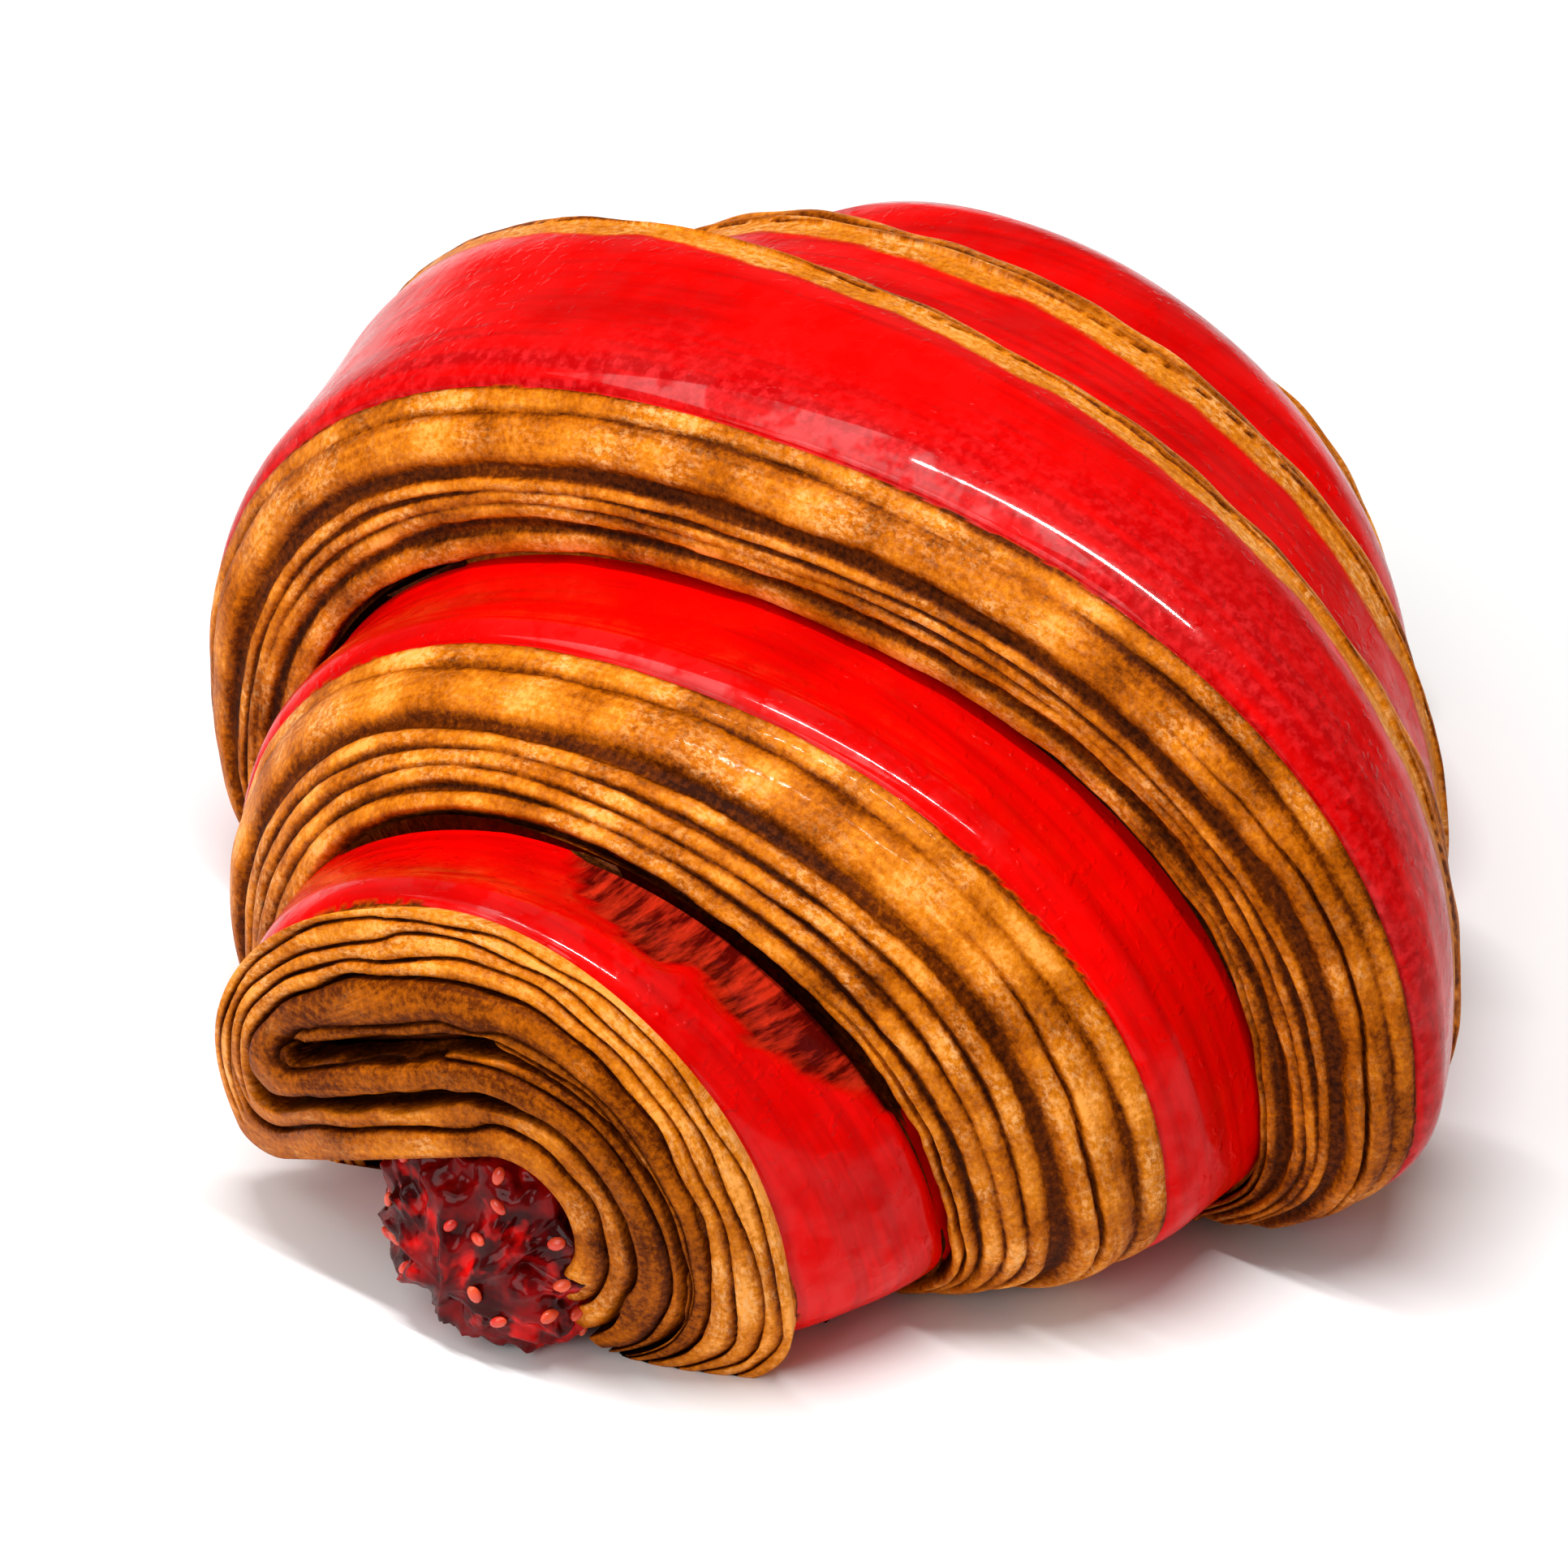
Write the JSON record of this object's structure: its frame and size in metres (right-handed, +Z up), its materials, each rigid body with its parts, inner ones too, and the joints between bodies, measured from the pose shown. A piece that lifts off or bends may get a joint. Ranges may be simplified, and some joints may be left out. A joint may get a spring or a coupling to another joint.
{
  "type": "filled croissant",
  "caption": "Chubby rolled croissant with stepped layered edges, smooth coloured skin and a jam core that shows at its end.",
  "frame": {"origin": "centre of the bounding box's underside, on the surface that the croissant rests on", "axes": "+X along the roll's long axis, away from the end where the jam shows; +Z up; +Y towards the side that the far end bends to"},
  "size_m": [0.093, 0.0879, 0.0484],
  "materials": {
    "dough": "baked laminated dough, brown layered edges with a glossy red skin",
    "jam": "wet dark red berry jam with small orange seeds"
  },
  "bodies": {
    "root": {"dough": "dough", "jam": "jam"}
  },
  "joints": []
}
